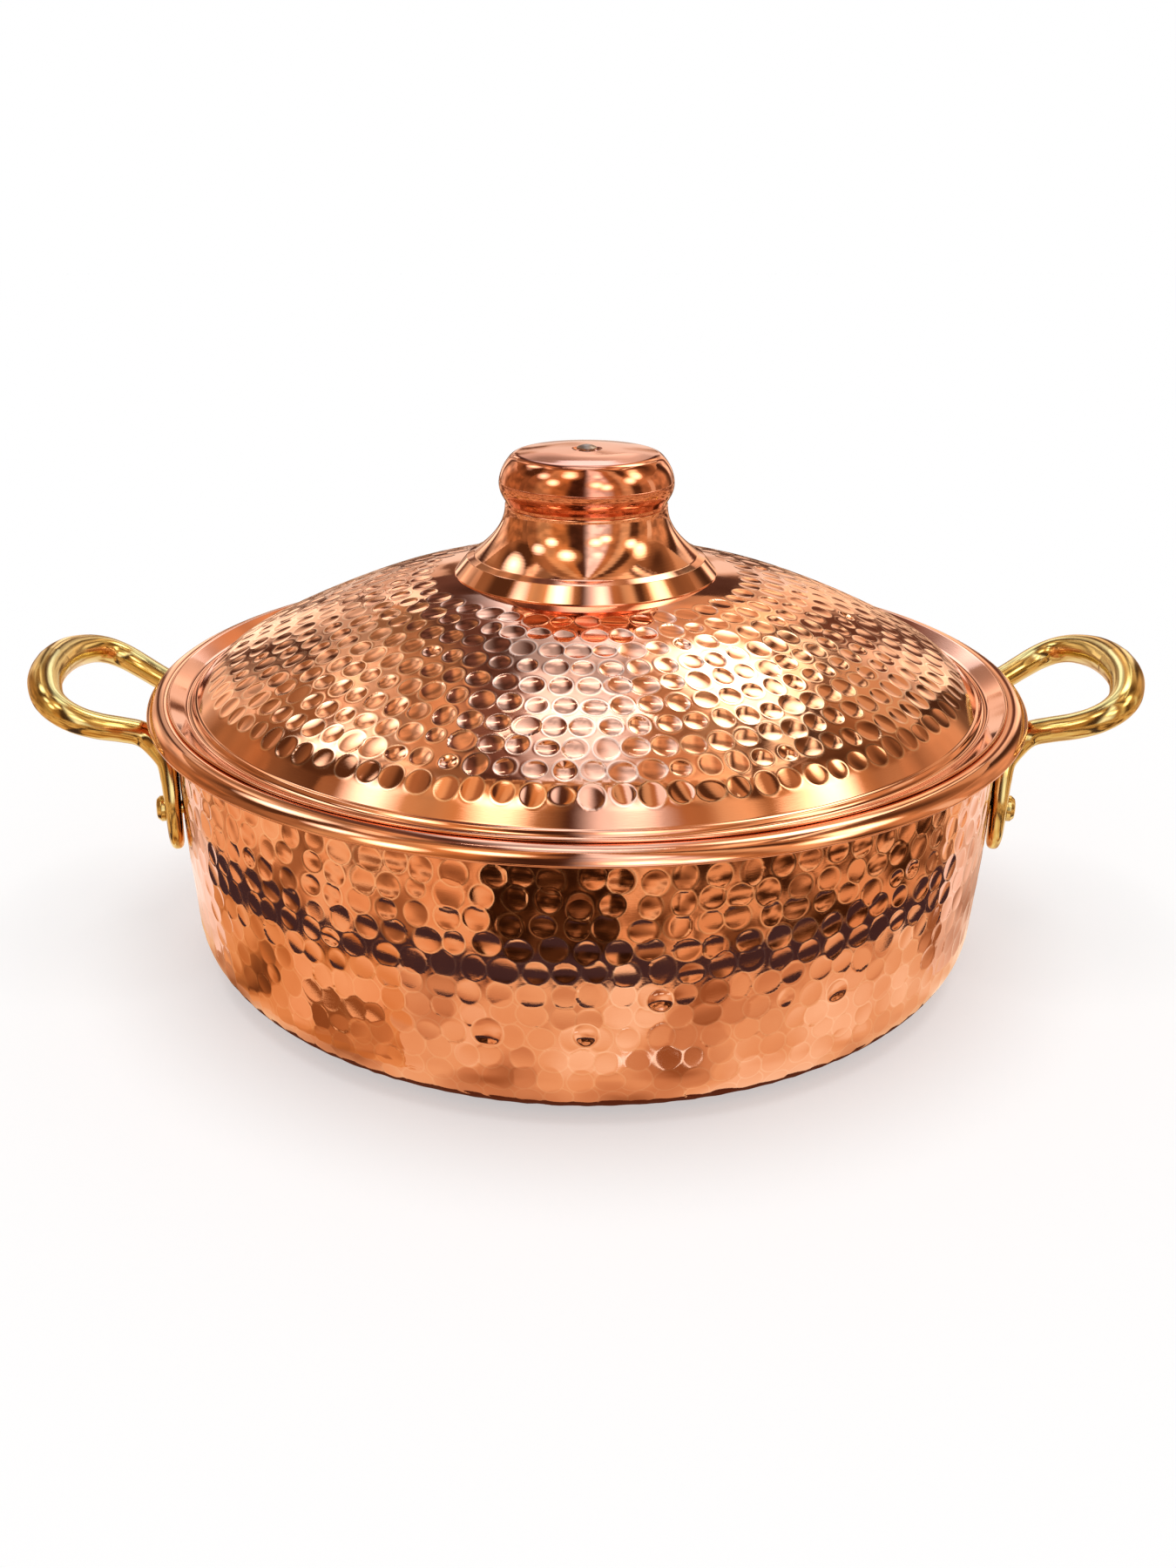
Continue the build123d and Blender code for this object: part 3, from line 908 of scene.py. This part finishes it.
def make_floor():
    """White floor: bright to the camera and in reflections, and it keeps the pot's shadow."""
    mat, tree, shader = material("floor_white")
    shader.inputs["Base Color"].default_value = (FLOOR_TONE, FLOOR_TONE, FLOOR_TONE, 1)
    shader.inputs["Roughness"].default_value = 0.9
    shader.inputs["Specular IOR Level"].default_value = 0.0
    shader.inputs["Emission Color"].default_value = (1, 1, 1, 1)
    seen = rays_seen(tree, SEEN_AS_WHITE)
    tree.links.new(spread(tree, seen, 0, FLOOR_GLOW, 0, 1), shader.inputs["Emission Strength"])
    corners = [(x * FLOOR_HALF, y * FLOOR_HALF, 0) for x, y in ((-1, -1), (1, -1), (1, 1), (-1, 1))]
    plain_mesh("floor", corners, [(0, 1, 2, 3)], mat)


def make_world():
    world = bpy.data.worlds.new("studio")
    bpy.context.scene.world = world
    world.use_nodes = True
    tree = world.node_tree
    background = tree.nodes["Background"]
    background.inputs["Color"].default_value = (1, 1, 1, 1)
    seen = rays_seen(tree, SEEN_AS_WHITE)
    tree.links.new(spread(tree, seen, WORLD_LIGHT, 1.0, 0, 1), background.inputs["Strength"])


def directions(azimuth, elevation):
    """Unit vectors away from the pot, across and up; azimuth is 0 in front and 90 on the right."""
    a, e = radians(azimuth), radians(elevation)
    out = np.array((sin(a) * cos(e), -cos(a) * cos(e), sin(e)))
    across = np.array((cos(a), sin(a), 0.0))
    return out, across, np.cross(across, out)


def room_card(name, azimuth, elevation, distance, width, height, mat):
    """Flat card that faces a point 70 mm over the pot's bottom."""
    out, across, up = directions(azimuth, elevation)
    centre = out * distance + np.array((0, 0, 0.07))
    corners = []
    for x, y in ((-1, -1), (1, -1), (1, 1), (-1, 1)):
        corners.append(tuple(centre + across * x * width / 2 - up * y * height / 2))
    reflected_mesh(name, corners, [(0, 1, 2, 3)], mat)


def mirrored_on_floor(angle, height):
    """Where on the floor the pot's wall, at an angle from the front and a height, mirrors for the camera."""
    wall_tilt, tilt_top, tilt_drop = 3.9, 76.0, 38.0
    tilt = radians(wall_tilt) * np.clip((tilt_top - height) / tilt_drop, 0, 1)
    normal = np.array((sin(angle) * cos(tilt), -cos(angle) * cos(tilt), -sin(tilt)))
    place = np.array((WALL_R * sin(angle), -WALL_R * cos(angle), height))
    ray = place - np.array(CAMERA_PLACE) / MM
    ray -= 2 * ray.dot(normal) * normal
    return place + ray * (height / -ray[2])


def floor_card(name, angles, heights, level, mat):
    """Card on the floor that the wall mirrors between two angles and two heights; level is in millimetres."""
    widest_step = 2.5
    steps = max(2, int(abs(angles[1] - angles[0]) / widest_step))
    verts = []
    for k in range(steps + 1):
        angle = radians(angles[0] + (angles[1] - angles[0]) * k / steps)
        for height in heights:
            x, y, _ = mirrored_on_floor(angle, height)
            verts.append((x * MM, y * MM, level * MM))
    faces = [(2 * k, 2 * k + 2, 2 * k + 3, 2 * k + 1) for k in range(steps)]
    reflected_mesh(name, verts, faces, mat)


def dome(name, radius, sector, mat, highest=90):
    """Part of the upper half of a ball round the scene, between two angles from +X."""
    turns, rows = 48, 20
    below_floor = 0.02
    verts = []
    for j in range(rows + 1):
        e = radians(highest) * j / rows - below_floor
        for k in range(turns + 1):
            a = radians(sector[0] + (sector[1] - sector[0]) * k / turns)
            verts.append((radius * cos(e) * cos(a), radius * cos(e) * sin(a), radius * sin(e)))
    faces = []
    for j in range(rows):
        for k in range(turns):
            a = j * (turns + 1) + k
            faces.append((a, a + 1, a + turns + 2, a + turns + 1))
    reflected_mesh(name, verts, faces, mat)


def strip(name, half_width, elevations, distance, mat):
    """Card bent over the pot from the back: constant width, between two elevations seen from the pot."""
    steps = 12
    verts = []
    for k in range(steps + 1):
        e = radians(elevations[0] + (elevations[1] - elevations[0]) * k / steps)
        for side in (-half_width, half_width):
            verts.append((side * distance, distance * cos(e), distance * sin(e)))
    faces = [(2 * k, 2 * k + 1, 2 * k + 3, 2 * k + 2) for k in range(steps)]
    reflected_mesh(name, verts, faces, mat)


def ring(name, inner, outer, level, mat):
    """Flat ring round the pot on the floor; level is in millimetres."""
    steps = 96
    verts = []
    for k in range(steps):
        a = 2 * pi * k / steps
        verts.append((inner * cos(a), inner * sin(a), level * MM))
        verts.append((outer * cos(a), outer * sin(a), level * MM))
    faces = [(2 * k, 2 * k + 1, (2 * k + 3) % (2 * steps), (2 * k + 2) % (2 * steps)) for k in range(steps)]
    reflected_mesh(name, verts, faces, mat)


def lamp(name, azimuth, elevation, distance, radius, colour, strength):
    """Round lamp that fades out towards its edge, seen only in reflections."""
    out, across, up = directions(azimuth, elevation)
    place = distance * out
    mat, tree, glow = glowing(name)
    glow.inputs["Color"].default_value = (*colour, 1)
    glow.inputs["Strength"].default_value = strength
    mapping = mapped(tree, own_coords(tree), (1 / radius,) * 3)
    mapping.inputs["Location"].default_value = tuple(-place / radius)
    fade = tree.nodes.new("ShaderNodeTexGradient")
    fade.gradient_type = "SPHERICAL"
    tree.links.new(mapping.outputs["Vector"], fade.inputs["Vector"])
    clear = tree.nodes.new("ShaderNodeBsdfTransparent")
    mix = tree.nodes.new("ShaderNodeMixShader")
    tree.links.new(fade.outputs["Fac"], mix.inputs["Fac"])
    tree.links.new(clear.outputs["BSDF"], mix.inputs[1])
    tree.links.new(glow.outputs["Emission"], mix.inputs[2])
    tree.links.new(mix.outputs["Shader"], tree.nodes["Material Output"].inputs["Surface"])
    turns = np.arange(32) * 2 * pi / 32
    verts = [tuple(place + radius * (across * cos(t) + up * sin(t))) for t in turns]
    reflected_mesh(name, verts, [tuple(range(len(verts)))], mat)


def make_room():
    """Warm room round the table, with bands of light and dark overhead, at the back and behind the camera."""
    brown = [
        (0.36, (0.10, 0.045, 0.02)), (0.47, (0.36, 0.18, 0.08)), (0.55, (0.74, 0.44, 0.23)),
        (0.66, (1.0, 0.78, 0.56)),
    ]
    dome("room", 1.75, (0, 360), patchy("room", brown, 0.9, (1, 1, 0.6)))
    overhead = (
        (-2.85, -1.9, (0.30, 0.14, 0.06)), (-1.9, -1.5, (1.25, 0.98, 0.78)),
        (-1.5, -1.2, (0.14, 0.07, 0.035)), (-1.2, -0.94, (1.35, 1.05, 0.80)),
        (-0.94, -0.84, (0.30, 0.15, 0.08)), (-0.84, -0.64, (1.2, 0.88, 0.62)),
        (-0.64, -0.42, (0.70, 0.40, 0.21)), (-0.42, -0.20, (0.17, 0.085, 0.065)),
        (-0.20, 0.20, (1.20, 1.22, 1.34)), (0.20, 0.42, (0.62, 0.34, 0.18)),
        (0.42, 0.60, (1.05, 0.72, 0.44)), (0.60, 0.72, (0.10, 0.045, 0.022)),
        (0.72, 0.82, (1.60, 1.30, 0.92)), (0.82, 0.90, (0.10, 0.045, 0.022)),
        (0.90, 1.04, (1.50, 1.15, 0.80)), (1.04, 1.14, (0.08, 0.035, 0.018)),
        (1.14, 1.45, (1.4, 1.08, 0.76)), (1.45, 2.85, (0.20, 0.09, 0.04)),
    )
    strip("overhead", 1.9, (29, 89), 1.5, banded("overhead", overhead, sideways, 3.6, 0.55))
    low = (
        (-1.7, -1.1, (0.46, 0.22, 0.09)), (-1.1, -0.80, (1.0, 0.70, 0.48)),
        (-0.80, -0.70, (0.12, 0.05, 0.03)), (-0.70, -0.54, (1.25, 0.94, 0.70)),
        (-0.54, -0.47, (0.12, 0.05, 0.03)), (-0.47, -0.34, (1.20, 0.92, 0.72)),
        (-0.34, -0.16, (0.11, 0.05, 0.035)), (-0.16, 0.00, (0.72, 0.52, 0.42)),
        (0.00, 0.20, (0.98, 0.76, 0.62)), (0.20, 0.42, (0.10, 0.045, 0.03)),
        (0.42, 0.66, (0.95, 0.62, 0.40)), (0.66, 0.78, (0.12, 0.05, 0.03)),
        (0.78, 0.98, (1.25, 0.92, 0.66)), (0.98, 1.12, (0.13, 0.06, 0.03)),
        (1.12, 1.7, (0.62, 0.34, 0.17)),
    )
    dome("back_low", 1.6, (8, 172), banded("back_low", low, sideways, 2.6, 0.45), 31)
    behind_camera = (
        (-90, -72, (0.36, 0.18, 0.08)), (-72, -50, (0.74, 0.46, 0.23)), (-50, -28, (0.56, 0.26, 0.09)),
        (-28, 0, (0.085, 0.036, 0.020)), (0, 33, (1.22, 1.14, 1.20)), (33, 46, (0.50, 0.24, 0.10)),
        (46, 60, (0.84, 0.56, 0.32)), (60, 75, (0.12, 0.055, 0.026)), (75, 90, (0.60, 0.32, 0.15)),
    )
    behind_camera = [(radians(start), radians(stop), colour) for start, stop, colour in behind_camera]
    dome("front", 1.6, (-180, 0), banded("front", behind_camera, bearing, 2.4, 0.30), 88)


def make_table():
    """Table top that the wall mirrors: each layer lies a little over the one that it covers.

    Under the pot the layers stay inside the sheet of its bottom, so its inside doesn't mirror them.
    """
    table = [
        (0.33, (0.12, 0.045, 0.015)), (0.42, (0.42, 0.20, 0.085)), (0.50, (0.92, 0.50, 0.24)),
        (0.60, (1.0, 0.66, 0.38)), (0.68, (0.34, 0.16, 0.07)),
    ]
    ring("table", 0.02, 1.69, 0.4, patchy("table", table, 12.0))
    far = [(0.36, (0.08, 0.035, 0.02)), (0.50, (0.42, 0.22, 0.12)), (0.64, (0.86, 0.54, 0.34))]
    corners = [(-1.5, 0.42, MM), (1.5, 0.42, MM), (1.5, 1.6, MM), (-1.5, 1.6, MM)]
    reflected_mesh("table_far", corners, [(0, 1, 2, 3)], patchy("table_far", far, 4.0))
    near = [
        (0.34, (0.36, 0.15, 0.06)), (0.43, (0.70, 0.38, 0.20)), (0.53, (0.92, 0.59, 0.34)),
        (0.66, (1.08, 0.86, 0.64)),
    ]
    near = patchy("table_near", near, 20.0)
    ring("table_back", 0.02, 0.205, 0.8, near)
    left = [
        (0.34, (0.16, 0.06, 0.02)), (0.45, (0.58, 0.25, 0.08)), (0.54, (0.84, 0.44, 0.18)),
        (0.66, (1.0, 0.62, 0.34)),
    ]
    floor_card("table_left", (-58, -24), (2, 50), 1.3, patchy("table_left", left, 22.0))
    floor_card("table_near", (-88, 88), (2, 50), 1.2, near)
    dark = plain_glow("table_gap", (0.060, 0.036, 0.044), 1.0)
    floor_card("table_gap", (-57, 48), (48.8, 58.6), 1.6, dark)
    patch = [(0.40, (0.30, 0.12, 0.04)), (0.50, (0.50, 0.22, 0.08)), (0.60, (0.78, 0.40, 0.17))]
    floor_card("table_patch", (-38, -26), (9, 30), 1.8, patchy("table_patch", patch, 30.0))
    pale = [(0.36, (0.50, 0.28, 0.18)), (0.48, (0.92, 0.66, 0.50)), (0.60, (1.12, 0.94, 0.84))]
    pale = patchy("table_side", pale, 14.0)
    floor_card("table_side_left", (-88, -59), (18, 96), 2.1, pale)
    floor_card("table_side_right", (52, 88), (18, 96), 2.1, pale)
    # painted shadow: a dark ring under the pot's edge, mirrored in the round of its bottom as the shade under
    # the pot
    ring("table_painted_shadow", 0.104, 0.134, 0.9, plain_glow("contact_painted_shadow", (0.10, 0.03, 0.015), 1.0))
    ring("table_gap_back", 0.205, 0.228, 0.6, dark)
    shade = [(0.44, (0.026, 0.010, 0.004)), (0.56, (0.08, 0.032, 0.012)), (0.68, (0.34, 0.16, 0.07))]
    floor_card("shade_front", (-12.0, 2.6), (58, 98), 2.0, patchy("shade", shade, 40.0))
    brown = [(0.40, (0.05, 0.02, 0.008)), (0.50, (0.26, 0.12, 0.05)), (0.60, (0.85, 0.46, 0.22))]
    floor_card("shade_right", (11.0, 46.0), (59, 90), 2.0, patchy("shade_right", brown, 26.0))
    white = plain_glow("card_white", (1.0, 0.97, 0.94), 1.3)
    for angle in (2.5, 6.4, 9.6):
        floor_card("card_near", (angle, angle + 2.2), (19.0, 23.0), 2.0, white)


def make_lamps():
    """Soft lamps and cards for the highlights on the dome, its skirt and the knob."""
    lamp("lamp_golden", 146.5, 54.0, 1.4, 0.27, (1.0, 0.92, 0.80), 7.0)
    lamp("lamp_skirt_left", -76, 48, 1.38, 0.20, (1.0, 0.93, 0.86), 4.0)
    lamp("lamp_skirt_middle", 19.6, 62, 1.38, 0.15, (1.0, 0.96, 0.96), 3.0)
    lamp("lamp_skirt_right", 85, 49, 1.38, 0.20, (1.0, 0.86, 0.60), 4.0)
    lamp("lamp_back_left", -118, 50, 1.38, 0.24, (1.0, 0.92, 0.82), 4.5)
    bar = plain_glow("bar_overhead", (1.0, 0.97, 0.95), 3.0)
    room_card("bar_overhead", 184, 73, 1.36, 0.54, 0.04, bar)
    peach = [(0.38, (0.20, 0.09, 0.05)), (0.47, (0.80, 0.52, 0.36)), (0.56, (1.1, 0.86, 0.70))]
    room_card("card_back_low", 180, 11, 1.5, 1.5, 0.34, patchy("card_back_low", peach, 6.0))
    knob_lamps = ((-52, 40), (13, 41), (26, 34), (66, 40), (82, 44), (-36, 62))
    for number, (azimuth, elevation) in enumerate(knob_lamps):
        lamp(f"lamp_{number}", azimuth, elevation, 1.40, 0.22, (1.0, 0.90, 0.74), 5.5)
        lamp(f"lamp_halo_{number}", azimuth, elevation, 1.43, 0.36, (1.0, 0.54, 0.22), 1.2)


def make_sun():
    """Soft light from straight above, which the metal doesn't mirror."""
    data = bpy.data.lights.new("sun", "SUN")
    data.energy = SUN_STRENGTH
    data.angle = radians(SUN_WIDTH)
    light = bpy.data.objects.new("sun", data)
    light.visible_glossy = False
    bpy.context.scene.collection.objects.link(light)


def make_camera():
    data = bpy.data.cameras.new("camera")
    camera = bpy.data.objects.new("camera", data)
    data.sensor_width = SENSOR_WIDTH
    data.lens = FOCAL_LENGTH / PICTURE_HEIGHT * SENSOR_WIDTH
    data.shift_x = (PICTURE_WIDTH / 2 - CENTRE_X) / PICTURE_HEIGHT
    data.shift_y = (CENTRE_Y - PICTURE_HEIGHT / 2) / PICTURE_HEIGHT
    data.clip_start = 0.01
    camera.location = CAMERA_PLACE
    camera.rotation_euler = (pi / 2 - CAMERA_TILT, 0, 0)
    bpy.context.scene.collection.objects.link(camera)
    bpy.context.scene.camera = camera


def make_pot():
    # painted shade: the cap takes a darker copy of the lid's copper, so it shows darker under the same light
    shaded_cap_copper = metal("copper_cap_painted_shade", (0.80, 0.37, 0.24), (0.72, 0.29, 0.17), 0.04, 0.09, 0.20)
    # lighter copper painted on the ridges round the hammer marks as a highlight
    painted_highlight_copper = (0.99, 0.72, 0.56)
    copper = metal("copper_polished", (0.93, 0.52, 0.36), (0.86, 0.42, 0.26), 0.03, 0.08, 0.20, painted_highlight_copper)
    tin = metal("tin_lining", (0.70, 0.68, 0.64), (0.58, 0.56, 0.53), 0.28, 0.42, 0.5)
    brass = metal("brass_polished", (0.80, 0.67, 0.28), (0.67, 0.52, 0.18), 0.13, 0.17, 0.04)
    steel = metal("steel_plain", (0.36, 0.31, 0.27), (0.26, 0.22, 0.19), 0.28, 0.42, 0.5)
    make_body(copper, tin)
    make_lid(copper, tin)
    make_knob(copper, shaded_cap_copper)
    for side in (1, -1):
        make_handle(side, brass)
        for end in (1, -1):
            make_rivet(side, end, brass)
    for name in ("knob_bolt", "knob_washer", "knob_nut"):
        dress(name, steel)
    for side in ("right", "left"):
        for end in ("front", "rear"):
            dress(f"burr_{side}_{end}", brass)


bpy.context.scene.view_settings.view_transform = "Standard"
make_pot()
make_floor()
make_world()
make_room()
make_table()
make_lamps()
make_sun()
make_camera()
